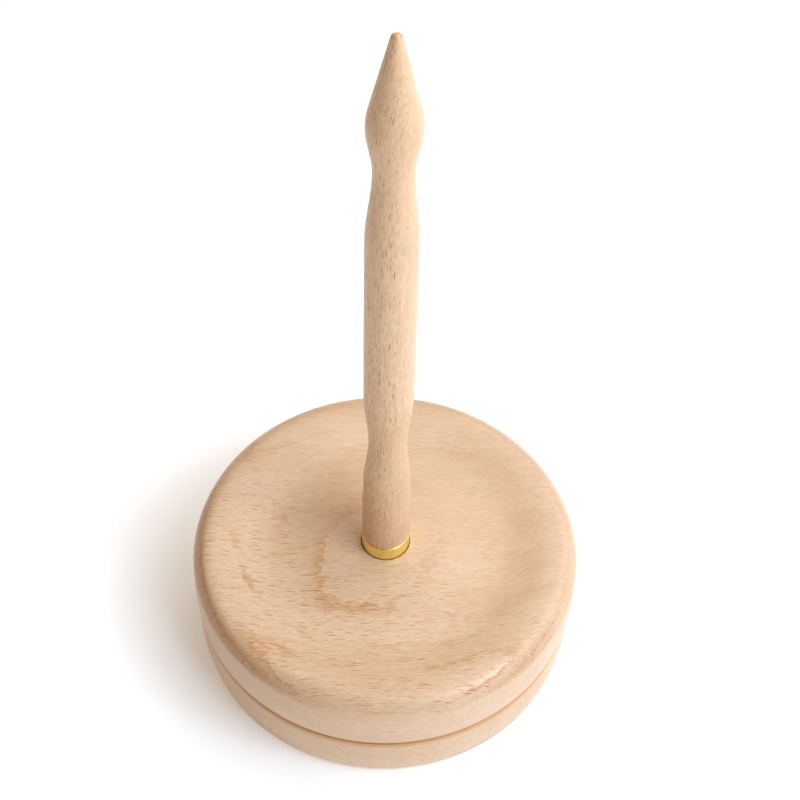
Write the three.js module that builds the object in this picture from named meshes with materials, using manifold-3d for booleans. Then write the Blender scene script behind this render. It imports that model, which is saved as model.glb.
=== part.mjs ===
// Revolving yarn-ball stand in turned beech: a weighty round base, a dished platter that
// spins on a ball bearing, and a tall turned spindle that lifts out of the platter.
// Millimetres, +Z up. The origin is on the table surface, under the middle of the base.

import * as THREE from 'three';
import { mergeVertices } from 'three/addons/utils/BufferGeometryUtils.js';
import Module from 'manifold-3d';

const wasm = await Module();
wasm.setup();

// ---------------------------------------------------------------- driving dimensions

const GAP = 0.3;                  // assembly clearance between pieces that touch
const TURN_GAP = 1.0;             // open line between the base and the platter

// base
const BASE_R = 65.45;             // widest radius
const BASE_BELLY = 10.5;          // height of the widest place above the underside
const BASE_TOP_R = 65.25;
const BASE_BOTTOM_R = 64.4;
const BASE_THICK = 19.4;
const BASE_TOP_ROUND_R = 2.0;     // the top edge is a quarter of an ellipse,
const BASE_TOP_ROUND_Z = 3.3;     // measured inwards and downwards
const BASE_BOTTOM_ROUND = 1.0;

// rubber feet, let into the underside
const FOOT_COUNT = 4;
const FOOT_R = 6.0;
const FOOT_RING_R = 50.0;
const FOOT_PROUD = 1.2;
const FOOT_SINK = 1.0;
const FOOT_BEVEL = 0.5;

// platter
const PLATTER_R = 66.0;
const PLATTER_BOTTOM_R = 65.5;
const PLATTER_THICK = 22.75;      // underside to the crest of the rim
const PLATTER_EDGE = 0.8;         // bevel of the lower edge
const WALL_LOW = 8.4;             // the wall is widest between these heights
const WALL_HIGH = 11.4;           // above the underside
const RIM_ROUND_R = 6.4;          // the rim's rounding is part of an ellipse,
const RIM_ROUND_Z = 7.6;          // measured inwards and downwards,
const RIM_CREASE_DEG = 11;        // and meets the wall at a faint crease here
const MOUND_R = 11.0;             // flat middle that the spindle stands on, level with the crest
const VALLEY_R = 39.0;
const VALLEY_DROP = 3.2;          // below the crest

// socket in the platter and the ferrule that drops into it
const FERRULE_R = 8.15;
const FERRULE_WALL = 0.8;
const FERRULE_PROUD = 5.8;        // above the platter's middle
const SOCKET_SLACK = 0.35;        // radial
const SOCKET_DEPTH = 15.0;
const SOCKET_BEVEL = 0.4;

// spindle: [height above the table, radius] where the turned outline levels out
const SPINDLE_FOOT_R = 8.05;
const SPINDLE_LEVELS = [
  [66.0, SPINDLE_FOOT_R],
  [78.0, 7.8],
  [100.0, 6.15],                  // lower cove
  [124.0, 7.8],
  [148.0, 7.85],
  [190.1, 7.8],
  [217.2, 5.8],                   // neck
  [233.1, 7.73],                  // bulb
];
const CONE_START = [238.8, 7.06];
const CONE_SLOPE = 0.232;         // radius lost per millimetre of height
const TIP_R = 1.7;

// magnet in the end of the spindle
const MAGNET_R = 5.0;
const MAGNET_THICK = 4.0;

// 608 ball bearing
const BEARING_R = 11.0;
const BEARING_THICK = 7.0;
const BEARING_BORE_R = 4.0;
const INNER_RING_R = 6.0;
const OUTER_RING_BORE_R = 9.0;
const BALL_PITCH_R = 7.5;
const BALL_R = 1.85;
const RACE_GROOVE_R = 2.0;
const BALL_COUNT = 7;
const SHIELD_THICK = 0.35;
const SHIELD_SEAT = 0.9;          // depth of the step that each shield sits in
const CAGE_HALF_WIDTH = 0.7;
const CAGE_BELOW = 2.55;          // from the middle of the bearing
const CAGE_ABOVE = 1.1;
const CAGE_SLACK = 0.15;          // round each ball

// through bolt, washers and lock nut
const BOLT_R = 3.8;
const BOLT_HEAD_R = 7.0;
const BOLT_HEAD_THICK = 4.0;
const BOLT_HEAD_BEVEL = 1.2;
const BOLT_TIP_BEVEL = 0.8;
const BOLT_PAST_NUT = 0.6;
const HEX_KEY_ACROSS = 5.0;
const HEX_KEY_DEPTH = 2.4;
const HEAD_WASHER_R = 8.0;
const HEAD_WASHER_THICK = 1.2;
const NUT_WASHER_THICK = 1.3;
const NUT_ACROSS = 13.0;
const NUT_THICK = 6.4;
const NUT_BEVEL = 0.6;
const NUT_COLLAR_R = 5.8;
const NUT_COLLAR_WALL = 0.6;
const NUT_COLLAR_THICK = 2.0;
const NYLON_THICK = 1.4;
const NUT_RECESS_R = 9.0;         // room for the nut and a spanner under the bearing

// facets round each kind of piece
const DISC_FACETS = 56;
const SPINDLE_FACETS = 24;
const RING_FACETS = 28;
const SMALL_FACETS = 20;

// ---------------------------------------------------------------- levels, worked out

const BASE_Z = FOOT_PROUD;
const BASE_TOP_Z = BASE_Z + BASE_THICK;
const PLATTER_Z = BASE_TOP_Z + TURN_GAP;
const CREST_Z = PLATTER_Z + PLATTER_THICK;
const MOUND_Z = CREST_Z;
const VALLEY_Z = CREST_Z - VALLEY_DROP;
const CREST_R = PLATTER_R - RIM_ROUND_R;
const SOCKET_R = FERRULE_R + SOCKET_SLACK;
const SOCKET_Z = MOUND_Z - SOCKET_DEPTH;

const BEARING_TOP_Z = BASE_TOP_Z - GAP;
const BEARING_Z = BEARING_TOP_Z - BEARING_THICK;
const BEARING_MID_Z = BEARING_Z + BEARING_THICK / 2;
const BEARING_SEAT_Z = BEARING_Z - GAP;

const HEAD_WASHER_Z = SOCKET_Z + GAP;
const BOLT_HEAD_Z = HEAD_WASHER_Z + HEAD_WASHER_THICK + GAP;
const BOLT_TOP_Z = BOLT_HEAD_Z + BOLT_HEAD_THICK;
const NUT_WASHER_Z = BEARING_Z - GAP - NUT_WASHER_THICK;
const NUT_Z = NUT_WASHER_Z - GAP - NUT_THICK;
const BOLT_TIP_Z = NUT_Z - BOLT_PAST_NUT;
const BOLT_HOLE_R = BOLT_R + GAP;

const FERRULE_Z = BOLT_TOP_Z + GAP;
const FERRULE_TOP_Z = MOUND_Z + FERRULE_PROUD;
const TENON_R = FERRULE_R - FERRULE_WALL - GAP;
const TENON_Z = FERRULE_Z + FERRULE_WALL + GAP;
const MAGNET_Z = TENON_Z;

// ---------------------------------------------------------------- materials

function material(color, roughness, metalness = 0) {
  return new THREE.MeshStandardMaterial({ color, roughness, metalness });
}

const BEECH = material(0xe4c3a0, 0.55);
const BRASS = material(0xcfa648, 0.3, 1);
const STEEL = material(0xb9bcc0, 0.35, 1);
const BALL_STEEL = material(0xd5d8dc, 0.12, 1);
const MAGNET_NICKEL = material(0xc9c8c2, 0.2, 1);
const CAGE_NYLON = material(0xe9e4d2, 0.5);
const NUT_NYLON = material(0x2f6fb0, 0.45);
const RUBBER = material(0x2b2b2b, 0.8);

// ---------------------------------------------------------------- outlines and solids

const flat = (r, z) => new THREE.Vector2(r, z);

// Points on an elliptic arc, from one angle to the other in degrees.
function arc(r, z, radiusR, radiusZ, fromDeg, toDeg, steps) {
  const points = [];
  for (let i = 0; i <= steps; i += 1) {
    const angle = THREE.MathUtils.degToRad(fromDeg + ((toDeg - fromDeg) * i) / steps);
    points.push(flat(r + radiusR * Math.cos(angle), z + radiusZ * Math.sin(angle)));
  }
  return points;
}

// A smooth S from one [along, across] level to the next, without its first point.
function sweep(from, to, steps) {
  const points = [];
  for (let i = 1; i <= steps; i += 1) {
    const t = i / steps;
    const ease = (1 - Math.cos(Math.PI * t)) / 2;
    points.push({
      along: THREE.MathUtils.lerp(from[0], to[0], t),
      across: THREE.MathUtils.lerp(from[1], to[1], ease),
    });
  }
  return points;
}

// Turns an outline of (radius, height) points about Z. The outline runs up the outside.
function turned(points, facets) {
  const geometry = new THREE.LatheGeometry(points, facets);
  geometry.rotateX(Math.PI / 2);
  return bare(geometry);
}

// Keeps the positions only, joins the shared vertices and drops the empty triangles.
function bare(geometry) {
  const plain = geometry.clone();
  plain.deleteAttribute('normal');
  plain.deleteAttribute('uv');
  const merged = mergeVertices(plain, 1e-4);
  const index = merged.getIndex().array;
  const kept = [];
  for (let i = 0; i < index.length; i += 3) {
    const [a, b, c] = [index[i], index[i + 1], index[i + 2]];
    if (a !== b && b !== c && c !== a) kept.push(a, b, c);
  }
  merged.setIndex(kept);
  return merged;
}

function solid(geometry) {
  const closed = bare(geometry);
  return new wasm.Manifold(new wasm.Mesh({
    numProp: 3,
    vertProperties: new Float32Array(closed.getAttribute('position').array),
    triVerts: new Uint32Array(closed.getIndex().array),
  }));
}

function geometryOf(manifold) {
  const mesh = manifold.getMesh();
  const geometry = new THREE.BufferGeometry();
  geometry.setAttribute('position', new THREE.BufferAttribute(new Float32Array(mesh.vertProperties), 3));
  geometry.setIndex(Array.from(mesh.triVerts));
  return geometry;
}

// A plain round bar between two heights.
function bar(radius, low, high, facets) {
  const geometry = new THREE.CylinderGeometry(radius, radius, high - low, facets);
  geometry.rotateX(Math.PI / 2);
  geometry.translate(0, 0, (low + high) / 2);
  return geometry;
}

// A hexagonal bar between two heights, by its size across the flats.
function hexBar(across, low, high) {
  return bar(across / Math.sqrt(3), low, high, 6);
}

// A flat ring: washers, shields and the like.
function ring(boreR, outerR, low, high, facets) {
  return turned([
    flat(boreR, low), flat(outerR, low), flat(outerR, high), flat(boreR, high), flat(boreR, low),
  ], facets);
}

// ---------------------------------------------------------------- base

function footCentres() {
  const centres = [];
  for (let i = 0; i < FOOT_COUNT; i += 1) {
    const angle = ((i + 0.5) / FOOT_COUNT) * 2 * Math.PI;
    centres.push(new THREE.Vector3(FOOT_RING_R * Math.cos(angle), FOOT_RING_R * Math.sin(angle), 0));
  }
  return centres;
}

function baseDisc() {
  const outline = [
    flat(NUT_RECESS_R, BASE_Z),
    ...arc(BASE_BOTTOM_R - BASE_BOTTOM_ROUND, BASE_Z + BASE_BOTTOM_ROUND,
      BASE_BOTTOM_ROUND, BASE_BOTTOM_ROUND, -90, 0, 3),
    flat(BASE_R, BASE_Z + BASE_BELLY),
    ...arc(BASE_TOP_R - BASE_TOP_ROUND_R, BASE_TOP_Z - BASE_TOP_ROUND_Z,
      BASE_TOP_ROUND_R, BASE_TOP_ROUND_Z, 0, 90, 4),
    flat(BEARING_R + GAP, BASE_TOP_Z),
    flat(BEARING_R + GAP, BEARING_SEAT_Z),
    flat(NUT_RECESS_R, BEARING_SEAT_Z),
    flat(NUT_RECESS_R, BASE_Z),
  ];
  let disc = solid(turned(outline, DISC_FACETS));
  for (const centre of footCentres()) {
    const pocket = bar(FOOT_R + GAP, BASE_Z - 1, BASE_Z + FOOT_SINK, SMALL_FACETS);
    pocket.translate(centre.x, centre.y, 0);
    disc = disc.subtract(solid(pocket));
  }
  return geometryOf(disc);
}

function rubberFoot() {
  const top = BASE_Z + FOOT_SINK - GAP;
  return turned([
    flat(0, 0), flat(FOOT_R - FOOT_BEVEL, 0), flat(FOOT_R, FOOT_BEVEL), flat(FOOT_R, top), flat(0, top),
  ], SMALL_FACETS);
}

// ---------------------------------------------------------------- platter

function platterDisc() {
  const dish = [
    ...sweep([CREST_R, CREST_Z], [VALLEY_R, VALLEY_Z], 6),
    ...sweep([VALLEY_R, VALLEY_Z], [MOUND_R, MOUND_Z], 6),
  ].map(({ along, across }) => flat(along, across));
  return turned([
    flat(BOLT_HOLE_R, PLATTER_Z),
    flat(PLATTER_BOTTOM_R - PLATTER_EDGE, PLATTER_Z),
    flat(PLATTER_BOTTOM_R, PLATTER_Z + PLATTER_EDGE),
    flat(PLATTER_R, PLATTER_Z + WALL_LOW),
    flat(PLATTER_R, PLATTER_Z + WALL_HIGH),
    ...arc(CREST_R, CREST_Z - RIM_ROUND_Z, RIM_ROUND_R, RIM_ROUND_Z, RIM_CREASE_DEG, 90, 7),
    ...dish,
    flat(SOCKET_R + SOCKET_BEVEL, MOUND_Z),
    flat(SOCKET_R, MOUND_Z - SOCKET_BEVEL),
    flat(SOCKET_R, SOCKET_Z),
    flat(BOLT_HOLE_R, SOCKET_Z),
    flat(BOLT_HOLE_R, PLATTER_Z),
  ], DISC_FACETS);
}

// ---------------------------------------------------------------- spindle

// Where the rounded tip's centre is, and the angle at which the cone runs into it.
function tip() {
  const halfAngle = Math.atan(CONE_SLOPE);
  const apexZ = CONE_START[0] + CONE_START[1] / CONE_SLOPE;
  const centreZ = apexZ - TIP_R / Math.sin(halfAngle);
  return { centreZ, startDeg: THREE.MathUtils.radToDeg(halfAngle) };
}

function spindlePost() {
  const magnetBoreR = MAGNET_R + GAP;
  const magnetBoreTop = MAGNET_Z + MAGNET_THICK + GAP;
  const tenonTop = FERRULE_TOP_Z + GAP;
  const outline = [
    flat(0, magnetBoreTop),
    flat(magnetBoreR, magnetBoreTop),
    flat(magnetBoreR, TENON_Z),
    flat(TENON_R, TENON_Z),
    flat(TENON_R, tenonTop),
    flat(SPINDLE_FOOT_R, tenonTop),
    flat(SPINDLE_LEVELS[0][1], SPINDLE_LEVELS[0][0]),
  ];
  for (let i = 1; i < SPINDLE_LEVELS.length; i += 1) {
    const [from, to] = [SPINDLE_LEVELS[i - 1], SPINDLE_LEVELS[i]];
    const steps = Math.abs(to[1] - from[1]) > 1 ? 7 : 1;
    outline.push(...sweep(from, to, steps).map(({ along, across }) => flat(across, along)));
  }
  const bulb = SPINDLE_LEVELS[SPINDLE_LEVELS.length - 1];
  const shoulderZ = (bulb[0] + CONE_START[0]) / 2;
  const shoulderDrop = (bulb[1] - CONE_START[1]) / 4;
  outline.push(flat(bulb[1] - shoulderDrop, shoulderZ), flat(CONE_START[1], CONE_START[0]));
  const { centreZ, startDeg } = tip();
  outline.push(...arc(0, centreZ, TIP_R, TIP_R, startDeg, 90, 4));
  outline[outline.length - 1].x = 0;
  return turned(outline, SPINDLE_FACETS);
}

// A thin cup over the spindle's tenon, open at the top and round the magnet.
function ferrule() {
  const wallR = FERRULE_R - FERRULE_WALL;
  const floorZ = FERRULE_Z + FERRULE_WALL;
  const edge = FERRULE_WALL / 2;
  return turned([
    flat(MAGNET_R, FERRULE_Z),
    flat(FERRULE_R - edge, FERRULE_Z),
    flat(FERRULE_R, FERRULE_Z + edge),
    flat(FERRULE_R, FERRULE_TOP_Z - edge / 2),
    flat(FERRULE_R - edge / 2, FERRULE_TOP_Z),
    flat(wallR, FERRULE_TOP_Z),
    flat(wallR, floorZ),
    flat(MAGNET_R, floorZ),
    flat(MAGNET_R, FERRULE_Z),
  ], RING_FACETS);
}

// ---------------------------------------------------------------- bearing

// Half the height at which a race groove meets a ring's plain wall.
function grooveHalf(wallR) {
  return Math.sqrt(RACE_GROOVE_R ** 2 - (wallR - BALL_PITCH_R) ** 2);
}

function innerRing() {
  const low = BEARING_Z;
  const high = BEARING_TOP_Z;
  const half = THREE.MathUtils.radToDeg(Math.asin(grooveHalf(INNER_RING_R) / RACE_GROOVE_R));
  return turned([
    flat(BEARING_BORE_R, low),
    flat(INNER_RING_R, low),
    ...arc(BALL_PITCH_R, BEARING_MID_Z, RACE_GROOVE_R, RACE_GROOVE_R, 180 + half, 180 - half, 5),
    flat(INNER_RING_R, high),
    flat(BEARING_BORE_R, high),
    flat(BEARING_BORE_R, low),
  ], RING_FACETS);
}

function outerRing() {
  const low = BEARING_Z;
  const high = BEARING_TOP_Z;
  const stepR = OUTER_RING_BORE_R + GAP;
  const half = THREE.MathUtils.radToDeg(Math.asin(grooveHalf(OUTER_RING_BORE_R) / RACE_GROOVE_R));
  return turned([
    flat(stepR, low),
    flat(BEARING_R, low),
    flat(BEARING_R, high),
    flat(stepR, high),
    flat(stepR, high - SHIELD_SEAT),
    flat(OUTER_RING_BORE_R, high - SHIELD_SEAT),
    ...arc(BALL_PITCH_R, BEARING_MID_Z, RACE_GROOVE_R, RACE_GROOVE_R, half, -half, 5),
    flat(OUTER_RING_BORE_R, low + SHIELD_SEAT),
    flat(stepR, low + SHIELD_SEAT),
    flat(stepR, low),
  ], RING_FACETS);
}

function ballCentre(i) {
  const angle = (i / BALL_COUNT) * 2 * Math.PI;
  return new THREE.Vector3(BALL_PITCH_R * Math.cos(angle), BALL_PITCH_R * Math.sin(angle), BEARING_MID_Z);
}

function ball(radius) {
  return bare(new THREE.SphereGeometry(radius, 12, 6));
}

// A crown cage: a thin ring under the balls with a pocket that clips round each one.
function cage() {
  const insideR = BALL_PITCH_R - CAGE_HALF_WIDTH;
  const outsideR = BALL_PITCH_R + CAGE_HALF_WIDTH;
  const low = BEARING_MID_Z - CAGE_BELOW;
  const high = BEARING_MID_Z + CAGE_ABOVE;
  let crown = solid(ring(insideR, outsideR, low, high, RING_FACETS));
  for (let i = 0; i < BALL_COUNT; i += 1) {
    const pocket = ball(BALL_R + CAGE_SLACK);
    const centre = ballCentre(i);
    pocket.translate(centre.x, centre.y, centre.z);
    crown = crown.subtract(solid(pocket));
  }
  return geometryOf(crown);
}

function shield(upper) {
  const step = (SHIELD_SEAT - SHIELD_THICK) / 2;
  const low = upper ? BEARING_TOP_Z - step - SHIELD_THICK : BEARING_Z + step;
  return ring(INNER_RING_R + GAP, OUTER_RING_BORE_R, low, low + SHIELD_THICK, RING_FACETS);
}

// ---------------------------------------------------------------- bolt, washers and nut

function axleBolt() {
  const body = solid(turned([
    flat(0, BOLT_TIP_Z),
    flat(BOLT_R - BOLT_TIP_BEVEL, BOLT_TIP_Z),
    flat(BOLT_R, BOLT_TIP_Z + BOLT_TIP_BEVEL),
    flat(BOLT_R, BOLT_HEAD_Z),
    flat(BOLT_HEAD_R, BOLT_HEAD_Z),
    flat(BOLT_HEAD_R, BOLT_TOP_Z - BOLT_HEAD_BEVEL),
    flat(BOLT_HEAD_R - BOLT_HEAD_BEVEL, BOLT_TOP_Z),
    flat(0, BOLT_TOP_Z),
  ], SMALL_FACETS));
  const key = solid(hexBar(HEX_KEY_ACROSS, BOLT_TOP_Z - HEX_KEY_DEPTH, BOLT_TOP_Z + 1));
  return geometryOf(body.subtract(key));
}

// A hexagonal nut with a round collar below, which holds a nylon locking ring.
function lockNut() {
  const cornerR = NUT_ACROSS / Math.sqrt(3);
  const flatR = NUT_ACROSS / 2;
  const top = NUT_Z + NUT_THICK;
  const hexZ = NUT_Z + NUT_COLLAR_THICK;
  const rounding = solid(turned([
    flat(0, hexZ),
    flat(flatR, hexZ),
    flat(cornerR, hexZ + NUT_BEVEL),
    flat(cornerR, top - NUT_BEVEL),
    flat(flatR, top),
    flat(0, top),
  ], SMALL_FACETS));
  const collar = solid(bar(NUT_COLLAR_R, NUT_Z, hexZ + 1, SMALL_FACETS));
  const bore = solid(bar(BOLT_HOLE_R, NUT_Z - 1, top + 1, SMALL_FACETS));
  const grooveR = NUT_COLLAR_R - NUT_COLLAR_WALL;
  const groove = solid(bar(grooveR, NUT_Z - 1, NUT_Z + NYLON_THICK + GAP, SMALL_FACETS));
  const hex = solid(hexBar(NUT_ACROSS, hexZ, top)).intersect(rounding);
  return geometryOf(hex.add(collar).subtract(bore).subtract(groove));
}

function nutNylonRing() {
  return ring(BOLT_HOLE_R, NUT_COLLAR_R - NUT_COLLAR_WALL - GAP, NUT_Z, NUT_Z + NYLON_THICK, SMALL_FACETS);
}

// ---------------------------------------------------------------- the object

function part(name, geometry, finish) {
  const mesh = new THREE.Mesh(geometry, finish);
  mesh.name = name;
  return mesh;
}

function baseGroup() {
  const group = new THREE.Group();
  group.add(part('base_disc', baseDisc(), BEECH));
  footCentres().forEach((centre, i) => {
    const foot = part(`rubber_foot_${i + 1}`, rubberFoot(), RUBBER);
    foot.position.copy(centre);
    group.add(foot);
  });
  return group;
}

function bearingGroup() {
  const group = new THREE.Group();
  group.add(part('bearing_outer_ring', outerRing(), STEEL));
  group.add(part('bearing_inner_ring', innerRing(), STEEL));
  group.add(part('bearing_cage', cage(), CAGE_NYLON));
  group.add(part('bearing_shield_upper', shield(true), STEEL));
  group.add(part('bearing_shield_lower', shield(false), STEEL));
  for (let i = 0; i < BALL_COUNT; i += 1) {
    const one = part(`bearing_ball_${i + 1}`, ball(BALL_R), BALL_STEEL);
    one.position.copy(ballCentre(i));
    group.add(one);
  }
  return group;
}

function turntableGroup() {
  const group = new THREE.Group();
  const washers = [
    ['head_washer', HEAD_WASHER_R, HEAD_WASHER_Z, HEAD_WASHER_Z + HEAD_WASHER_THICK],
    ['spacer_washer', INNER_RING_R, BEARING_TOP_Z + GAP, PLATTER_Z - GAP],
    ['nut_washer', INNER_RING_R, NUT_WASHER_Z, NUT_WASHER_Z + NUT_WASHER_THICK],
  ];
  group.add(part('platter_disc', platterDisc(), BEECH));
  group.add(part('axle_bolt', axleBolt(), STEEL));
  for (const [name, outerR, low, high] of washers) {
    group.add(part(name, ring(BOLT_HOLE_R, outerR, low, high, SMALL_FACETS), STEEL));
  }
  group.add(part('lock_nut', lockNut(), STEEL));
  group.add(part('nut_nylon_ring', nutNylonRing(), NUT_NYLON));
  return group;
}

function spindleGroup() {
  const group = new THREE.Group();
  const magnet = bar(MAGNET_R, MAGNET_Z, MAGNET_Z + MAGNET_THICK, SMALL_FACETS);
  group.add(part('spindle_post', spindlePost(), BEECH));
  group.add(part('spindle_ferrule', ferrule(), BRASS));
  group.add(part('spindle_magnet', bare(magnet), MAGNET_NICKEL));
  return group;
}

const stand = new THREE.Group();
stand.add(baseGroup(), bearingGroup(), turntableGroup(), spindleGroup());

export default stand;
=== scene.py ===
"""Revolving yarn-ball stand in turned beech, around its CAD frame. Outlines are in millimetres."""

import math

import bmesh
import bpy
from mathutils import Matrix, Vector


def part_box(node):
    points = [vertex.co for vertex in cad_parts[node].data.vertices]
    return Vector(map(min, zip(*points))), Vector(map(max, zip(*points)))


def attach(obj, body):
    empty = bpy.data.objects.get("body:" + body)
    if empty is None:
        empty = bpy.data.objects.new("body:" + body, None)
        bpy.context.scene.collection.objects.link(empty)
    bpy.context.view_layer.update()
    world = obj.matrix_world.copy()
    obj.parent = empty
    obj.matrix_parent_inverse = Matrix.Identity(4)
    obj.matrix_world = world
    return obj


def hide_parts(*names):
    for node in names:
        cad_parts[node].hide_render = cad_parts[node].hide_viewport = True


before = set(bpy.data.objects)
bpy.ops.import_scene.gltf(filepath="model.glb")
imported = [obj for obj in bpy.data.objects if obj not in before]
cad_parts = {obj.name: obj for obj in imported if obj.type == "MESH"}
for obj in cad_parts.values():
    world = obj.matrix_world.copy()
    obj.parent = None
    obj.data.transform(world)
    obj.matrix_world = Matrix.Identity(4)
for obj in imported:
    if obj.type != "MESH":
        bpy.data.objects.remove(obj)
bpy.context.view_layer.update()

MM = 0.001
FINE = 192           # facets round the wooden pieces
SMALL = 96           # facets round the metal pieces


def node_box(node):
    """Lowest and highest height and the largest radius of a CAD node, in millimetres."""
    low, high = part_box(node)
    return low.z / MM, high.z / MM, (high.x - low.x) / 2 / MM


# ------------------------------------------------------------------ sizes

BASE_LOW, BASE_TOP, BASE_R = node_box("base_disc")
PLATTER_LOW, CREST, PLATTER_R = node_box("platter_disc")
SPINDLE_LOW, _, SPINDLE_R = node_box("spindle_post")
FERRULE_LOW, FERRULE_TOP, FERRULE_R = node_box("spindle_ferrule")
_, _, FOOT_R = node_box("rubber_foot_1")
BEARING_LOW, _, BEARING_R = node_box("bearing_outer_ring")
_, MAGNET_TOP, MAGNET_R = node_box("spindle_magnet")
BOLT_LOW, BOLT_TOP, BOLT_HEAD_R = node_box("axle_bolt")
NUT_LOW, NUT_TOP, _ = node_box("lock_nut")

GAP = 0.3            # between pieces that touch, as in the CAD
BASE_TOP_R = BASE_R - 0.2
BASE_BOTTOM_R = BASE_R - 1.05
BASE_BELLY = 10.5
BASE_TOP_ROUND_R = 2.0
BASE_TOP_ROUND_Z = 3.3
BASE_BOTTOM_ROUND = 1.0
NUT_RECESS_R = 9.0
FOOT_SINK = 1.0
FOOT_COUNT = 4
BORE_EDGE = 0.3      # how far the base's inner edges are broken
CUTTER_SPARE = 2     # how far a pocket's cutter reaches past the underside

PLATTER_BOTTOM_R = PLATTER_R - 0.5
PLATTER_EDGE = 0.5   # a smaller rounding than the CAD node has
WALL_LOW = PLATTER_LOW + 8.4
WALL_HIGH = PLATTER_LOW + 11.4
RIM_ROUND_R = 6.4
RIM_ROUND_Z = 7.6
RIM_CREASE = 11      # degrees at which the rounding meets the wall
CREST_R = PLATTER_R - RIM_ROUND_R
MOUND_R = 11.0
VALLEY_R = 39.0
VALLEY = CREST - 3.2
SOCKET_R = FERRULE_R + 0.2
SOCKET_LOW = CREST - 15.0
SOCKET_ROUND = 0.25
BOLT_HOLE_R = 4.1
BOLT_R = 3.8
BOLT_HEAD_THICK = 4.0
BOLT_HEAD_EDGE = 0.25
BOLT_HEAD_ROUND = 1.2
BOLT_TIP_BEVEL = 0.8
BOLT_SHANK = 12      # plain length under the head
THREAD_START = 1     # above the bolt's lower end
THREAD_PITCH = 1.25
THREAD_DEPTH = 0.5
THREAD_TURNS = 10    # rings of groove, which stand for a helix
KEY_ACROSS = 5.0
KEY_DEPTH = 2.4
KEY_BEVEL = 0.4
KEY_RIM = 0.8        # round bevel outside the key's hexagon
KEY_DISH = 0.1
NUT_ACROSS = 13.0
NUT_COLLAR = 2.0
NUT_COLLAR_R = 5.8
NUT_COLLAR_WALL = 0.6
NUT_COLLAR_EDGE = 0.3
NUT_BEVEL = 0.6
BALL_COUNT = 7

FERRULE_WALL = 0.8
FERRULE_EDGE = 0.25
SHOULDER_GAP = 0.12  # between the ferrule and the spindle's shoulder
# the shoulder's broken edge, as steps in radius and height from its corner
SHOULDER_EDGE = [(-0.25, 0), (-0.05, 0.1), (0, 0.35)]
# height and radius where the spindle's turned outline levels out
SPINDLE_LEVELS = [
    (66.0, 8.05), (78.0, 7.8), (100.0, 6.15), (124.0, 7.8),
    (148.0, 7.85), (190.1, 7.8), (217.2, 5.8), (233.1, 7.73),
]
CONE_START = (238.8, 7.06)
CONE_SLOPE = 0.232
TIP_R = 1.7


# ------------------------------------------------------------------ outlines

def arc(centre_r, centre_z, radius_r, radius_z, start, end, steps):
    """Points on an elliptic arc, from one angle to another in degrees."""
    points = []
    for i in range(steps + 1):
        angle = math.radians(start + (end - start) * i / steps)
        points.append((centre_r + radius_r * math.cos(angle), centre_z + radius_z * math.sin(angle)))
    return points


def ease(start, end, steps):
    """A smooth S between two level places given as (along, across), without the first."""
    points = []
    for i in range(1, steps + 1):
        t = i / steps
        across = (1 - math.cos(math.pi * t)) / 2
        points.append((start[0] + (end[0] - start[0]) * t, start[1] + (end[1] - start[1]) * across))
    return points


def half_ease(start, end, steps):
    """A curve that starts level and bends away to the end, given as (along, across), without the first."""
    points = []
    for i in range(1, steps + 1):
        t = i / steps
        across = start[1] + (end[1] - start[1]) * t * t
        points.append((start[0] + (end[0] - start[0]) * t, across))
    return points


def broken(corners, size, steps=3):
    """A closed outline whose corners are rounded by up to size, as a turner breaks an edge."""
    points = []
    count = len(corners)
    for i, here in enumerate(corners):
        before = Vector(corners[i - 1]) - Vector(here)
        after = Vector(corners[(i + 1) % count]) - Vector(here)
        on_axis = here[0] == 0
        cut = min(size, before.length / 2.2, after.length / 2.2)
        if on_axis or cut < 1e-3:
            points.append(here)
            continue
        start = Vector(here) + before.normalized() * cut
        end = Vector(here) + after.normalized() * cut
        for k in range(steps + 1):
            t = k / steps
            bend = start * (1 - t) ** 2 + Vector(here) * 2 * t * (1 - t) + end * t ** 2
            points.append((bend.x, bend.y))
    return points


# ------------------------------------------------------------------ meshes

def hex_reach(across, angle):
    """How far a hexagon reaches at an angle, by its size across the flats."""
    sixth = math.radians(60)
    folded = (angle + sixth / 2) % sixth - sixth / 2
    return across / 2 / math.cos(folded)


def turned(name, outline, facets, closed=False, reach=None):
    """A mesh turned about Z. reach(i, radius, angle) gives another radius for the outline's point i."""
    bm = bmesh.new()
    rings = []
    for i, (radius, height) in enumerate(outline):
        if radius < 1e-6:
            rings.append([bm.verts.new((0, 0, height * MM))])
            continue
        ring = []
        for k in range(facets):
            angle = 2 * math.pi * k / facets
            here = (reach(i, radius, angle) if reach else radius) * MM
            ring.append(bm.verts.new((here * math.cos(angle), here * math.sin(angle), height * MM)))
        rings.append(ring)
    pairs = list(zip(rings, rings[1:]))
    if closed:
        pairs.append((rings[-1], rings[0]))
    for low, high in pairs:
        for k in range(facets):
            after = k + 1
            corners = [low[k % len(low)], low[after % len(low)]]
            corners += [high[after % len(high)], high[k % len(high)]]
            corners = list(dict.fromkeys(corners))
            if len(corners) > 2:
                bm.faces.new(corners)
    bmesh.ops.recalc_face_normals(bm, faces=bm.faces)
    return finished(name, bm)


def finished(name, bm, sharp=38):
    """Makes the object, shaded smooth except at edges sharper than this many degrees."""
    mesh = bpy.data.meshes.new(name)
    bm.to_mesh(mesh)
    bm.free()
    mesh.shade_smooth()
    mesh.set_sharp_from_angle(angle=math.radians(sharp))
    piece = bpy.data.objects.new(name, mesh)
    bpy.context.scene.collection.objects.link(piece)
    return piece


def place(piece, body, node, slot, material):
    """The piece stands for a CAD node, rides on its body and gets its finish."""
    piece.data.materials.clear()
    piece.data.materials.append(material)
    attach(piece, body)
    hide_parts(node)
    return piece


# ------------------------------------------------------------------ materials

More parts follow.
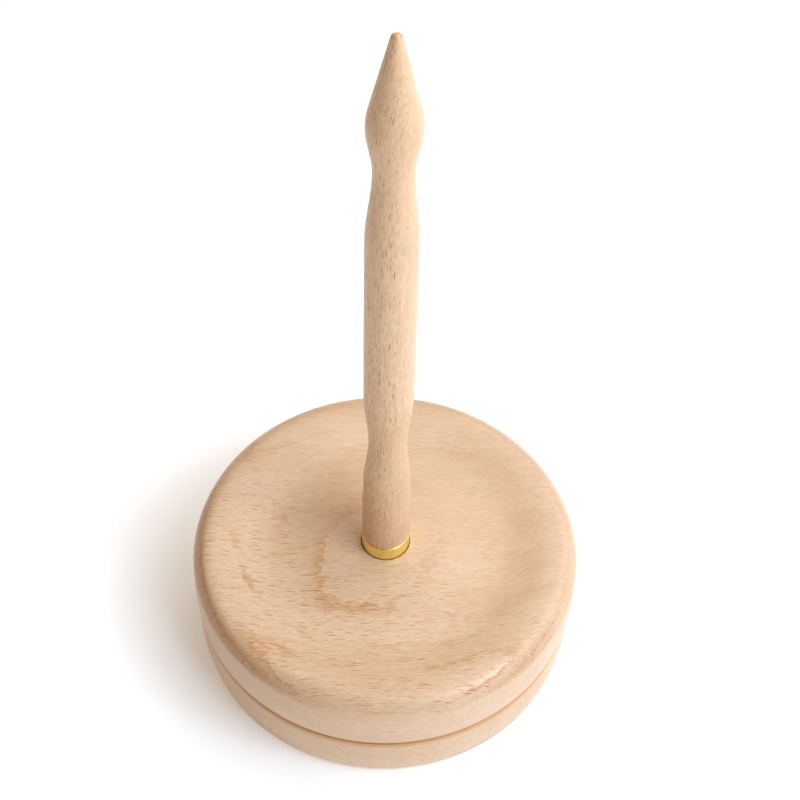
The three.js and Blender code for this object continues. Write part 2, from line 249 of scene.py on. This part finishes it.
class Graph:
    """A material's nodes, built from left to right."""

    def __init__(self, name):
        self.material = bpy.data.materials.new(name)
        self.material.use_nodes = True
        self.tree = self.material.node_tree
        self.shader = self.tree.nodes["Principled BSDF"]

    def node(self, kind, inputs=None, **settings):
        made = self.tree.nodes.new(kind)
        for key, value in settings.items():
            setattr(made, key, value)
        for key, value in (inputs or {}).items():
            self.feed(made.inputs[key], value)
        return made

    def feed(self, socket, value):
        if isinstance(value, bpy.types.NodeSocket):
            self.tree.links.new(value, socket)
        else:
            socket.default_value = value

    def set(self, **inputs):
        for key, value in inputs.items():
            self.feed(self.shader.inputs[key.replace("_", " ")], value)

    def math(self, operation, a, b=0.0, clamp=False):
        made = self.node("ShaderNodeMath", {0: a, 1: b}, operation=operation, use_clamp=clamp)
        return made.outputs[0]

    def vector(self, operation, a, b=(0, 0, 0)):
        made = self.node("ShaderNodeVectorMath", {0: a, 1: b}, operation=operation)
        return made.outputs["Value" if operation in ("DOT_PRODUCT", "LENGTH") else "Vector"]

    def remap(self, value, from_low, from_high, to_low=0.0, to_high=1.0, smooth=True):
        kind = "SMOOTHSTEP" if smooth else "LINEAR"
        inputs = {"Value": value, "From Min": from_low, "From Max": from_high,
                  "To Min": to_low, "To Max": to_high}
        return self.node("ShaderNodeMapRange", inputs, interpolation_type=kind).outputs["Result"]

    def mix(self, factor, a, b, blend="MIX"):
        made = self.node("ShaderNodeMix", data_type="RGBA", blend_type=blend)
        self.feed(made.inputs[0], factor)
        self.feed(made.inputs[6], a)
        self.feed(made.inputs[7], b)
        return made.outputs[2]

    def noise(self, place, scale=1.0, detail=2.0, roughness=0.5, distortion=0.0):
        inputs = {"Vector": place, "Scale": scale, "Detail": detail,
                  "Roughness": roughness, "Distortion": distortion}
        return self.node("ShaderNodeTexNoise", inputs)

    def bump(self, height, strength, distance):
        inputs = {"Height": height, "Strength": strength, "Distance": distance}
        self.set(Normal=self.node("ShaderNodeBump", inputs).outputs["Normal"])

    def surface(self):
        """The direction that the surface faces, in the piece's own axes."""
        return self.node("ShaderNodeTexCoord").outputs["Normal"]

    def millimetres(self):
        """The piece's own coordinates, in millimetres."""
        place = self.node("ShaderNodeTexCoord").outputs["Object"]
        return self.vector("MULTIPLY", place, (1 / MM,) * 3)


def rgb(red, green, blue):
    """An sRGB colour from 0 to 255 as a linear one."""
    def linear(c):
        c /= 255
        return c / 12.92 if c <= 0.04045 else ((c + 0.055) / 1.055) ** 2.4
    return (linear(red), linear(green), linear(blue), 1.0)


# beech, from its pale ground to its darkest marks
WOOD_PALE = rgb(236, 201, 164)
WOOD_DARK = rgb(228, 190, 152)
STREAK_TAN = rgb(214, 164, 122)
FIBRE_TAN = rgb(208, 154, 108)
RING_TAN = rgb(208, 146, 86)
FLAKE_TAN = rgb(202, 146, 100)
END_GRAIN_BROWN = rgb(190, 134, 88)
CUT_END_BROWN = rgb(180, 110, 54)
SMALL_PORE_BROWN = rgb(198, 130, 74)
BOLD_PORE_BROWN = rgb(170, 86, 30)
DEEP_PORE_BROWN = rgb(138, 62, 20)
# painted light: a warm band of bounce light and the dark shade in the gap between platter and base
BOUNCE_ORANGE = rgb(224, 160, 90)
GAP_SHADE_BROWN = rgb(112, 54, 22)

WOOD_IOR = 1.55
RING_PITCH = 2.6     # millimetres of growth a year
# the discs' marks, ring lines and browned ends are painted stronger towards the shaded front left and
# fainter where light falls on the right
SHADED_SIDE = (-0.0090, -0.0138, 0)    # per millimetre, towards the front left
BOUNCE_SPANS = 1.6     # how much taller the painted warm band of bounce light is than the painted gap shade

# cycles per millimetre along the grain, across it and outwards
SWAY_RATE = (0.012, 0.03, 0.03)
FIBRE_RATE = (0.26, 2.3, 2.3)
RIPPLE_RATE = (0.22, 0.30, 0.10)
PATCH_RATE = (0.03, 0.05, 0.05)
TONE_RATE = (0.010, 0.045, 0.045)
STREAK_RATE = (0.05, 0.7, 0.7)
SWAY_REACH = (0.0, 5.0, 5.0)           # millimetres

# marks in the wood: their cell, their half sizes in millimetres and the share of cells with one
SMALL_PORES = ((3.4, 0.62, 1.9), (1.60, 0.17, 1.2), 0.95)
BOLD_PORES = ((5.4, 1.10, 2.4), (2.50, 0.17, 1.6), 0.82)
FLAKES = ((3.4, 1.3, 9.0), (0.9, 0.5, 3.6), 0.6)


def marks(g, place, cell, half, share):
    """Short spindle-shaped marks, at most one to a cell, of about these half sizes. Only a share of
    the cells shows one, some fainter than others."""
    here = g.vector("DIVIDE", place, cell)
    cells = g.node("ShaderNodeTexVoronoi", {"Vector": here, "Scale": 1.0, "Randomness": 1.0}, feature="F1")
    chance = g.node("ShaderNodeSeparateColor", {"Color": cells.outputs["Color"]})
    shape = [c / h for c, h in zip(cell, half)]
    offset = g.vector("MULTIPLY", g.vector("SUBTRACT", here, cells.outputs["Position"]), shape)
    size = g.remap(chance.outputs["Red"], 0.0, 1.0, 0.6, 1.3, smooth=False)
    inside = g.remap(g.math("DIVIDE", g.vector("LENGTH", offset), size), 1.0, 0.35)
    shown = g.remap(chance.outputs["Green"], 1.0 - share, 1.0, 0.0, 1.0, smooth=False)
    return g.math("MULTIPLY", inside, g.math("POWER", shown, 0.5))


def along(g, vector, axes):
    """A vector's parts along the grain, across it and out from the pith."""
    parts = {key: g.vector("DOT_PRODUCT", vector, tuple(axis)) for key, axis in zip("XYZ", axes)}
    return g.node("ShaderNodeCombineXYZ", parts).outputs["Vector"]


def beech(name, grain, outward, shift, pith, bow=0.0, finer=1.0, streaks=0.38, ring_strength=1.0,
          one_sided=False, gap_shade=None, shade_side=(0, 0, 0), tint=(1, 1, 1)):
    """Fine-sanded beech with a faint sheen, solid through. grain and outward are directions in the
    piece: along the fibres and away from the pith, which lies pith millimetres below the shifted
    origin. Between two heights given for a gap between parts, the wood gets a painted warm band of
    bounce light and then painted shade. Its marks, ring lines and browned ends are painted stronger
    towards the shaded side, a direction given per millimetre, and fainter where light falls; with
    one_sided its marks stand mostly on the outward side, away from the key lights, as painted shade."""
    g = Graph(name)
    grain = Vector(grain).normalized()
    across = Vector(outward).cross(grain).normalized()
    axes = (grain, across, grain.cross(across))
    wood = wood_place(g, axes, shift, bow)
    face = g.node("ShaderNodeSeparateXYZ", {"Vector": along(g, g.surface(), axes)})
    end_grain = g.math("ABSOLUTE", face.outputs["X"])
    radial = g.math("ABSOLUTE", face.outputs["Y"])
    flat = g.math("ABSOLUTE", face.outputs["Z"])

    # painted shade and light: marks, ring lines and browned ends grow stronger towards the shaded side and
    # fade where light falls
    side = g.vector("DOT_PRODUCT", g.millimetres(), shade_side)
    shade_weight = g.remap(side, -0.45, 0.60, 0.30, 1.10) if any(shade_side) else 1.0
    fibre = g.noise(g.vector("MULTIPLY", wood, FIBRE_RATE), 1.0, 3.0, 0.62).outputs["Fac"]
    rings = g.math("MULTIPLY", g.remap(flat, 0.1, 0.7, 0.15, ring_strength), shade_weight)
    color, line = beech_color(g, wood, fibre, pith, rings)
    color = g.mix(g.remap(fibre, 0.32, 0.68, 0.0, streaks), color, FIBRE_TAN)
    color, ends = brown_ends(g, color, end_grain, flat, shade_weight)

    # with one_sided the marks stand mostly on the outward side, which faces away from the key lights:
    # painted shade
    marked_face = face.outputs["Z"] if one_sided else flat
    share = g.math("ADD", g.remap(marked_face, 0.10, 0.75, 0.12, 0.92), ends, clamp=True)
    share = g.math("MULTIPLY", share, shade_weight)
    bold_color = DEEP_PORE_BROWN if one_sided else BOLD_PORE_BROWN
    color, pores = add_pores(g, color, g.vector("MULTIPLY", wood, (finer,) * 3), share, bold_color)

    flakes = g.math("MULTIPLY", marks(g, wood, *FLAKES), g.remap(radial, 0.45, 0.95, 0.0, 0.16))
    color = g.mix(flakes, color, FLAKE_TAN)
    # painted light along the gap between parts: a warm band of bounce light, then shade
    if gap_shade:
        color = add_gap_shade(g, color, *gap_shade)
    color = g.mix(1.0, color, tuple(tint) + (1,), "MULTIPLY")

    rough = g.math("ADD", g.remap(fibre, 0.25, 0.75, 0.46, 0.56), g.math("MULTIPLY", pores, 0.15))
    g.set(Base_Color=color, Roughness=rough, IOR=WOOD_IOR, Coat_Weight=0.25, Coat_Roughness=0.18,
          Sheen_Weight=0.18, Sheen_Roughness=0.35, Sheen_Tint=(1.0, 1.0, 0.97, 1.0))
    height = g.math("SUBTRACT", g.math("MULTIPLY", fibre, 0.3), g.math("MULTIPLY", pores, 0.42))
    g.bump(g.math("SUBTRACT", height, g.math("MULTIPLY", line, 0.15)), 0.25, 0.00010)
    return g.material


def wood_place(g, axes, shift, bow):
    """How far a place lies along the grain, across it and outwards, in millimetres. The fibres
    bend by bow times their length squared, and sway a little."""
    straight = g.vector("ADD", along(g, g.millimetres(), axes), shift)
    length = g.node("ShaderNodeSeparateXYZ", {"Vector": straight}).outputs["X"]
    rise = g.math("MULTIPLY", g.math("MULTIPLY", length, length), bow)
    sway = g.noise(g.vector("MULTIPLY", straight, SWAY_RATE), 1.0, 1.0).outputs["Color"]
    sway = g.vector("MULTIPLY", g.vector("SUBTRACT", sway, (0.5, 0.5, 0.5)), SWAY_REACH)
    lift = g.node("ShaderNodeCombineXYZ", {"Y": rise}).outputs["Vector"]
    return g.vector("ADD", g.vector("ADD", straight, lift), sway)


def brown_ends(g, color, end_grain, flat, shade_weight):
    """Browns the wood where the turner cut across the ends of the fibres, painted stronger towards
    the shaded side and fainter where light falls. Also gives how much.
    """
    shade_weight_twice = g.math("POWER", shade_weight, 2.0)
    ends = g.math("MULTIPLY", g.remap(end_grain, 0.25, 0.70), g.remap(flat, 0.10, 0.40))
    ends = g.math("MULTIPLY", ends, shade_weight_twice, clamp=True)
    color = g.mix(g.math("MULTIPLY", ends, 0.45), color, CUT_END_BROWN)
    darker = g.math("MULTIPLY", g.remap(end_grain, 0.4, 0.9), g.math("MULTIPLY", shade_weight_twice, 0.24))
    return g.mix(darker, color, END_GRAIN_BROWN), ends


def add_pores(g, color, place, share, bold_color):
    """Draws the small and the bold pore marks. Also gives where they are."""
    small = g.math("MULTIPLY", marks(g, place, *SMALL_PORES), share)
    bold = g.math("MULTIPLY", marks(g, place, *BOLD_PORES), share)
    color = g.mix(g.math("MULTIPLY", small, 0.60), color, SMALL_PORE_BROWN)
    color = g.mix(g.math("MULTIPLY", bold, 0.86), color, bold_color)
    return color, g.math("MAXIMUM", small, bold)


def add_gap_shade(g, color, start, end):
    """Painted warm bounce light towards the height start, then painted shade from there to the
    height end, as in the gap between parts.
    """
    warm = start - BOUNCE_SPANS * (end - start)
    height = g.node("ShaderNodeSeparateXYZ", {"Vector": g.millimetres()}).outputs["Z"]
    color = g.mix(g.remap(height, warm, start, 0.0, 0.75), color, BOUNCE_ORANGE)
    return g.mix(g.remap(height, start, end, 0.0, 0.95), color, GAP_SHADE_BROWN)


def beech_color(g, wood, fibre, pith, ring_strength):
    """The wood's pale ground with soft clouds, streaks and the thin darker lines of its growth rings.
    Also gives where the lines are."""
    parts = g.node("ShaderNodeSeparateXYZ", {"Vector": wood})
    out_z = g.math("POWER", g.math("ADD", parts.outputs["Z"], pith), 2.0)
    reach = g.math("SQRT", g.math("ADD", g.math("POWER", parts.outputs["Y"], 2.0), out_z))
    ripple = g.noise(g.vector("MULTIPLY", wood, RIPPLE_RATE), 1.0, 2.0, 0.55).outputs["Fac"]
    years = g.math("ADD", g.math("DIVIDE", reach, RING_PITCH), g.math("MULTIPLY", ripple, 0.55))
    ring = g.math("FRACT", years)
    line = g.math("MULTIPLY", g.remap(ring, 0.62, 0.93), g.remap(ring, 1.0, 0.95))
    patchy = g.noise(g.vector("MULTIPLY", wood, PATCH_RATE), 1.0, 1.0).outputs["Fac"]
    line = g.math("MULTIPLY", line, g.remap(patchy, 0.45, 0.62, 0.12, 1.0))
    line = g.math("MULTIPLY", line, g.remap(fibre, 0.35, 0.60, 0.25, 1.0))

    tone = g.noise(g.vector("MULTIPLY", wood, TONE_RATE), 1.0, 3.0, 0.55).outputs["Fac"]
    streak = g.noise(g.vector("MULTIPLY", wood, STREAK_RATE), 1.0, 2.0, 0.5).outputs["Fac"]
    color = g.mix(g.remap(tone, 0.34, 0.66), WOOD_DARK, WOOD_PALE)
    color = g.mix(g.math("MULTIPLY", line, g.math("MULTIPLY", ring_strength, 0.5)), color, RING_TAN)
    return g.mix(g.remap(streak, 0.3, 0.7, 0.0, 0.20), color, STREAK_TAN), line


def brass():
    """Satin brass, turned, with fine lines round it."""
    g = Graph("satin_brass")
    place = g.millimetres()
    lines = g.noise(g.vector("MULTIPLY", place, (0.25, 0.25, 9.0)), 1.0, 3.0, 0.6).outputs["Fac"]
    cloud = g.noise(place, 0.35, 3.0).outputs["Fac"]
    color = g.mix(g.remap(cloud, 0.3, 0.7), rgb(246, 224, 136), rgb(252, 234, 154))
    g.set(Base_Color=color, Metallic=1.0, Roughness=g.remap(lines, 0.3, 0.7, 0.24, 0.40))
    g.bump(lines, 0.25, 0.00003)
    return g.material


def steel(name, tint, low, high):
    """Plated or ground steel with fine scratches and a faint cloudiness."""
    g = Graph(name)
    place = g.millimetres()
    scratch = g.noise(g.vector("MULTIPLY", place, (1.2, 6.0, 1.2)), 1.0, 4.0, 0.65).outputs["Fac"]
    cloud = g.noise(place, 0.5, 2.0).outputs["Fac"]
    darker = tuple(c * 0.82 for c in tint[:3]) + (1.0,)
    g.set(Base_Color=g.mix(g.remap(cloud, 0.3, 0.7), darker, tint), Metallic=1.0,
          Roughness=g.remap(scratch, 0.3, 0.7, low, high))
    g.bump(scratch, 0.15, 0.00003)
    return g.material


def plastic(name, tint, rough, grain):
    """Moulded nylon or rubber with a fine skin."""
    g = Graph(name)
    place = g.millimetres()
    skin = g.noise(place, grain, 3.0, 0.6).outputs["Fac"]
    lighter = tuple(min(1.0, c * 1.25 + 0.004) for c in tint[:3]) + (1.0,)
    g.set(Base_Color=g.mix(g.remap(skin, 0.3, 0.7), tint, lighter),
          Roughness=g.remap(skin, 0.3, 0.7, rough - 0.08, rough + 0.08))
    g.bump(skin, 0.3, 0.00005)
    return g.material


# ------------------------------------------------------------------ wooden pieces

def add_base(wood):
    low_edge = arc(BASE_BOTTOM_R - BASE_BOTTOM_ROUND, BASE_LOW + BASE_BOTTOM_ROUND,
                   BASE_BOTTOM_ROUND, BASE_BOTTOM_ROUND, -90, 0, 8)
    top_edge = arc(BASE_TOP_R - BASE_TOP_ROUND_R, BASE_TOP - BASE_TOP_ROUND_Z,
                   BASE_TOP_ROUND_R, BASE_TOP_ROUND_Z, 0, 90, 14)
    belly = (BASE_LOW + BASE_BELLY, BASE_R)
    lower = half_ease(belly, low_edge[-1][::-1], 8)[::-1]
    upper = ease(belly, top_edge[0][::-1], 8)[:-1]
    outline = low_edge + [(r, z) for z, r in lower[1:] + [belly] + upper] + top_edge
    seat = BEARING_LOW - GAP
    bore = BEARING_R + GAP
    inside = [(bore, BASE_TOP), (bore, seat), (NUT_RECESS_R, seat), (NUT_RECESS_R, BASE_LOW)]
    outline += broken_inside(inside)
    piece = turned("base", outline, FINE, closed=True)
    for foot in range(1, FOOT_COUNT + 1):
        low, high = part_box(f"rubber_foot_{foot}")
        cut_pocket(piece, (low + high) / 2, FOOT_R + GAP, FOOT_SINK)
    return place(piece, "base", "base_disc", "beech", wood)


def broken_inside(corners):
    """The stretch of an outline inside a bore, with its first and last edges broken."""
    points = []
    for i, (r, z) in enumerate(corners):
        if i in (0, len(corners) - 1):
            inward = 1 if i == 0 else -1
            points += [(r + BORE_EDGE, z), (r, z - BORE_EDGE * inward)][::inward]
        else:
            points.append((r, z))
    return points


def cut_pocket(piece, centre, radius, depth):
    """Cuts a round, flat-bottomed pocket up into the piece's underside."""
    height = depth + CUTTER_SPARE
    cutter = turned("pocket", [(0, 0), (radius, 0), (radius, height), (0, height)], SMALL)
    cutter.location = (centre.x, centre.y, (BASE_LOW - CUTTER_SPARE) * MM)
    cut = piece.modifiers.new("pocket", "BOOLEAN")
    cut.object = cutter
    cut.solver = "EXACT"
    with bpy.context.temp_override(object=piece, active_object=piece):
        bpy.ops.object.modifier_apply(modifier=cut.name)
    bpy.data.objects.remove(cutter)


def add_platter(wood):
    dish = ease((CREST_R, CREST), (VALLEY_R, VALLEY), 24)
    dish += ease((VALLEY_R, VALLEY), (MOUND_R, CREST), 24)
    outline = arc(PLATTER_BOTTOM_R - PLATTER_EDGE, PLATTER_LOW + PLATTER_EDGE,
                  PLATTER_EDGE, PLATTER_EDGE, -90, 0, 6)
    wall_foot = outline[-1][::-1]
    outline += [(r, z) for z, r in half_ease((WALL_LOW, PLATTER_R), wall_foot, 8)[-2::-1]]
    outline += [(PLATTER_R, WALL_LOW), (PLATTER_R, WALL_HIGH)]
    outline += arc(CREST_R, CREST - RIM_ROUND_Z, RIM_ROUND_R, RIM_ROUND_Z, RIM_CREASE, 90, 28)
    outline += dish
    outline += arc(SOCKET_R + SOCKET_ROUND, CREST - SOCKET_ROUND, SOCKET_ROUND, SOCKET_ROUND, 90, 180, 4)
    outline += [(SOCKET_R, SOCKET_LOW), (BOLT_HOLE_R, SOCKET_LOW), (BOLT_HOLE_R, PLATTER_LOW)]
    piece = turned("platter", outline, FINE, closed=True)
    return place(piece, "turntable", "platter_disc", "beech", wood)


def add_spindle(wood):
    bore_top = MAGNET_TOP + GAP
    tenon_r = FERRULE_R - FERRULE_WALL - GAP
    shoulder = FERRULE_TOP + SHOULDER_GAP
    outline = [
        (0, bore_top), (MAGNET_R + GAP, bore_top), (MAGNET_R + GAP, SPINDLE_LOW),
        (tenon_r, SPINDLE_LOW), (tenon_r, shoulder),
    ]
    outline += [(SPINDLE_R + r, shoulder + z) for r, z in SHOULDER_EDGE]
    outline.append(SPINDLE_LEVELS[0][::-1])
    for start, end in zip(SPINDLE_LEVELS, SPINDLE_LEVELS[1:]):
        outline += [(r, z) for z, r in ease(start, end, 20)]
    bulb_z, bulb_r = SPINDLE_LEVELS[-1]
    rise = CONE_START[0] - bulb_z
    steps = 8
    for i in range(1, steps + 1):
        t = i / steps
        outline.append((bulb_r - (bulb_r - CONE_START[1]) * t * t, bulb_z + rise * t))
    half_angle = math.atan(CONE_SLOPE)
    tip_z = CONE_START[0] + CONE_START[1] / CONE_SLOPE - TIP_R / math.sin(half_angle)
    outline += arc(0, tip_z, TIP_R, TIP_R, math.degrees(half_angle), 90, 10)[:-1] + [(0, tip_z + TIP_R)]
    return place(turned("spindle", outline, FINE), "spindle", "spindle_post", "beech", wood)


# ------------------------------------------------------------------ metal, rubber and nylon pieces

def add_ferrule(metal):
    wall = FERRULE_R - FERRULE_WALL
    floor = FERRULE_LOW + FERRULE_WALL
    corners = [
        (MAGNET_R, FERRULE_LOW), (FERRULE_R, FERRULE_LOW), (FERRULE_R, FERRULE_TOP),
        (wall, FERRULE_TOP), (wall, floor), (MAGNET_R, floor),
    ]
    piece = turned("ferrule", broken(corners, FERRULE_EDGE), FINE, closed=True)
    return place(piece, "spindle", "spindle_ferrule", "brass", metal)


def add_ring(name, body, node, slot, material, bore, edge=0.12):
    """A flat ring in the space of its CAD node."""
    low, high, radius = node_box(node)
    corners = [(bore, low), (radius, low), (radius, high), (bore, high)]
    return place(turned(name, broken(corners, edge), SMALL, closed=True), body, node, slot, material)


def add_plug(name, body, node, slot, material, edge):
    """A solid round piece in the space of its CAD node."""
    low, high, radius = node_box(node)
    points = broken([(0, low), (radius, low), (radius, high), (0, high)], edge, 5)
    piece = turned(name, points, SMALL)
    centre = sum(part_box(node), Vector()) / 2
    piece.location = (centre.x, centre.y, 0)
    return place(piece, body, node, slot, material)


def add_bolt(metal):
    """The axle bolt, with grooves for its thread and the hexagon for its key."""
    head = BOLT_TOP - BOLT_HEAD_THICK
    root = BOLT_R - THREAD_DEPTH
    outline = [(0, BOLT_LOW), (BOLT_R - BOLT_TIP_BEVEL, BOLT_LOW), (BOLT_R, BOLT_LOW + BOLT_TIP_BEVEL)]
    for turn in range(THREAD_TURNS):
        z = BOLT_LOW + THREAD_START + turn * THREAD_PITCH
        outline += [(BOLT_R, z), (root, z + 0.5 * THREAD_PITCH), (root, z + 0.6 * THREAD_PITCH)]
    outline += [
        (BOLT_R, head - BOLT_SHANK), (BOLT_R, head),
        (BOLT_HEAD_R - BOLT_HEAD_EDGE, head), (BOLT_HEAD_R, head + BOLT_HEAD_EDGE),
    ]
    outline += arc(BOLT_HEAD_R - BOLT_HEAD_ROUND, BOLT_TOP - BOLT_HEAD_ROUND,
                   BOLT_HEAD_ROUND, BOLT_HEAD_ROUND, 0, 90, 8)
    key_r = KEY_ACROSS / 2
    outline.append((key_r + KEY_RIM, BOLT_TOP))
    first_in_key = len(outline)
    key_floor = BOLT_TOP - KEY_DEPTH
    outline += [(key_r, BOLT_TOP - KEY_BEVEL), (key_r, key_floor), (0, key_floor - KEY_DISH)]

    def reach(i, radius, angle):
        if i < first_in_key:
            return radius
        return radius * hex_reach(2, angle)

    piece = turned("bolt", outline, SMALL, reach=reach)
    return place(piece, "turntable", "axle_bolt", "steel", metal)


def add_nut(metal):
    """The lock nut: a hexagon with rounded-off corners over a collar for its nylon ring."""
    nylon_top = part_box("nut_nylon_ring")[1].z / MM
    hex_low = NUT_LOW + NUT_COLLAR
    corner = NUT_ACROSS / math.sqrt(3)
    flat = NUT_ACROSS / 2
    groove = NUT_COLLAR_R - NUT_COLLAR_WALL
    outline = [
        (BOLT_HOLE_R, NUT_TOP), (BOLT_HOLE_R, nylon_top + GAP),
        (groove, nylon_top + GAP), (groove, NUT_LOW),
        (NUT_COLLAR_R - NUT_COLLAR_EDGE, NUT_LOW), (NUT_COLLAR_R, NUT_LOW + NUT_COLLAR_EDGE),
        (NUT_COLLAR_R, hex_low), (flat, hex_low),
        (corner, hex_low + NUT_BEVEL), (corner, NUT_TOP - NUT_BEVEL), (flat, NUT_TOP),
    ]

    def reach(i, radius, angle):
        return min(radius, hex_reach(NUT_ACROSS, angle))

    piece = turned("nut", outline, SMALL * 2, closed=True, reach=reach)
    return place(piece, "turntable", "lock_nut", "steel", metal)


# ------------------------------------------------------------------ scene

CAMERA_ELEVATION = math.radians(56.41)
CAMERA_ROLL = math.radians(1.26)
CAMERA_DISTANCE = 0.6
CAMERA_TARGET = (0, 0, 0.0362)
CAMERA_AIM = (-0.00854, -0.08833, -1.0)    # where the target lies from the lens's own axis
CAMERA_LENS = 77.8
CAMERA_SENSOR = 36
CLIP_START = 0.01
FLOOR_HALF = 12
LIT_FLOOR = 0.7                            # how far out the lights reach, and where
FAR_FLOOR = 2.2                            # the floor glows fully, in metres
LIGHT_TARGET = (0, 0, 0.06)


def add_camera():
    back = Vector((0, -math.cos(CAMERA_ELEVATION), math.sin(CAMERA_ELEVATION)))
    right = Vector((1, 0, 0))
    basis = Matrix((right, back.cross(right), back)).transposed()
    turn = Vector((0, 0, -1)).rotation_difference(Vector(CAMERA_AIM)).to_matrix().inverted()
    rotation = basis @ Matrix.Rotation(CAMERA_ROLL, 3, "Z") @ turn
    data = bpy.data.cameras.new("camera")
    data.lens = CAMERA_LENS
    data.sensor_width = CAMERA_SENSOR
    data.clip_start = CLIP_START
    camera = bpy.data.objects.new("camera", data)
    position = Vector(CAMERA_TARGET) + back * CAMERA_DISTANCE
    camera.matrix_world = Matrix.Translation(position) @ rotation.to_4x4()
    bpy.context.scene.collection.objects.link(camera)
    bpy.context.scene.camera = camera


def add_floor():
    """A pale floor. It glows a little, and more beyond the reach of the lights."""
    bm = bmesh.new()
    bmesh.ops.create_grid(bm, x_segments=2, y_segments=2, size=FLOOR_HALF)
    floor = finished("floor", bm)
    g = Graph("pale_floor")
    far = g.math("MULTIPLY", g.vector("LENGTH", g.millimetres()), MM)
    glow = g.remap(far, LIT_FLOOR, FAR_FLOOR, 0.25, 0.90)
    tone = g.mix(g.remap(far, LIT_FLOOR, FAR_FLOOR), (1.0, 0.94, 0.86, 1), (1.0, 1.0, 1.0, 1))
    g.set(Base_Color=(0.96, 0.96, 0.96, 1), Roughness=0.9, Emission_Color=tone, Emission_Strength=glow)
    floor.data.materials.append(g.material)


def add_softbox(name, azimuth, elevation, distance, size, power, color):
    """A soft light that faces the stand. Azimuth 0 is the camera's side and 90 the right."""
    a, e = math.radians(azimuth), math.radians(elevation)
    back = Vector((math.sin(a) * math.cos(e), -math.cos(a) * math.cos(e), math.sin(e)))
    data = bpy.data.lights.new(name, "AREA")
    data.shape = "RECTANGLE"
    data.size, data.size_y = size
    data.energy = power
    data.color = color
    light = bpy.data.objects.new(name, data)
    light.location = Vector(LIGHT_TARGET) + back * distance
    light.rotation_mode = "QUATERNION"
    light.rotation_quaternion = (-back).to_track_quat("-Z", "Y")
    bpy.context.scene.collection.objects.link(light)


def add_lights():
    add_softbox("overhead_softbox", azimuth=138, elevation=62, distance=1.0, size=(1.1, 1.1),
                power=6.4, color=(1.0, 0.985, 0.985))
    add_softbox("key_softbox", azimuth=50, elevation=50, distance=0.9, size=(0.5, 0.5),
                power=4.1, color=(0.81, 0.98, 1.19))
    add_softbox("low_softbox", azimuth=46, elevation=12, distance=1.0, size=(0.70, 0.42),
                power=1.3, color=(0.80, 1.0, 1.16))
    add_softbox("side_softbox", azimuth=118, elevation=20, distance=0.7, size=(0.5, 0.4),
                power=0.7, color=(0.80, 1.0, 1.30))
    add_softbox("warm_fill", azimuth=-122, elevation=37, distance=1.0, size=(0.9, 0.9),
                power=1.0, color=(1.0, 0.74, 0.44))
    add_softbox("rim_light", azimuth=72, elevation=51, distance=0.9, size=(0.30, 0.09),
                power=1.2, color=(0.92, 1.0, 1.10))
    add_softbox("front_fill", azimuth=-35, elevation=25, distance=1.0, size=(0.6, 0.6),
                power=0.30, color=(1.0, 0.74, 0.40))
    world = bpy.data.worlds.new("studio")
    world.use_nodes = True
    background = world.node_tree.nodes["Background"]
    background.inputs["Color"].default_value = (1.0, 0.92, 0.80, 1)
    background.inputs["Strength"].default_value = 0.12
    bpy.context.scene.world = world
    bpy.context.scene.view_settings.view_transform = "Standard"


add_camera()
add_floor()
add_lights()

level_grain = (math.cos(math.radians(3)), math.sin(math.radians(3)), 0)
# the discs get painted shade and warm bounce light along the gap between them, and marks painted stronger
# on their shaded front left
disc_wood = beech("beech_disc", level_grain, (0, 0, 1), (0, 4, 0), 400, bow=-0.0009, ring_strength=1.9,
                  gap_shade=(PLATTER_LOW + 0.9, PLATTER_LOW + 0.1), shade_side=SHADED_SIDE)
base_wood = beech("beech_base", level_grain, (0, 0.1, 1), (60, -25, 20), 400, ring_strength=0.5,
                  gap_shade=(BASE_TOP - 1.3, BASE_TOP - 0.1), shade_side=SHADED_SIDE)
# the post's marks are painted mostly on its front left, away from the key lights, as shade
post_wood = beech("beech_post", (0, 0, 1), (-0.80, -0.60, 0), (0, 3, 0), 90, finer=1.25, streaks=0.50,
                  one_sided=True, tint=(1.01, 0.99, 0.94))
brass_metal = brass()
zinc = steel("zinc_steel", rgb(198, 200, 204), 0.28, 0.42)
ground = steel("ground_steel", rgb(206, 208, 212), 0.12, 0.22)
nickel = steel("nickel", rgb(205, 203, 196), 0.16, 0.26)
rubber = plastic("black_rubber", rgb(38, 38, 38), 0.75, 2.0)
blue_nylon = plastic("blue_nylon", rgb(52, 108, 168), 0.45, 1.0)
cage_nylon = plastic("cage_nylon", rgb(226, 220, 200), 0.5, 1.0)

add_base(base_wood)
add_platter(disc_wood)
add_spindle(post_wood)
add_ferrule(brass_metal)
add_plug("magnet", "spindle", "spindle_magnet", "magnet", nickel, 0.3)
for number in range(1, FOOT_COUNT + 1):
    add_plug(f"foot_{number}", "base", f"rubber_foot_{number}", "rubber", rubber, 0.5)
for node in ("head_washer", "spacer_washer", "nut_washer"):
    add_ring(node + "_fine", "turntable", node, "steel", zinc, BOLT_HOLE_R)
add_bolt(zinc)
add_nut(zinc)
add_ring("nylon_insert", "turntable", "nut_nylon_ring", "nut_nylon", blue_nylon, BOLT_R + 0.05)

# the bearing keeps its CAD shapes
bearing_looks = {
    "bearing_cage": cage_nylon, "bearing_inner_ring": ground, "bearing_outer_ring": ground,
    "bearing_shield_upper": zinc, "bearing_shield_lower": zinc,
}
for number in range(1, BALL_COUNT + 1):
    bearing_looks[f"bearing_ball_{number}"] = ground
for node, material in bearing_looks.items():
    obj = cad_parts[node]
    obj.data.materials.clear()
    obj.data.materials.append(material)
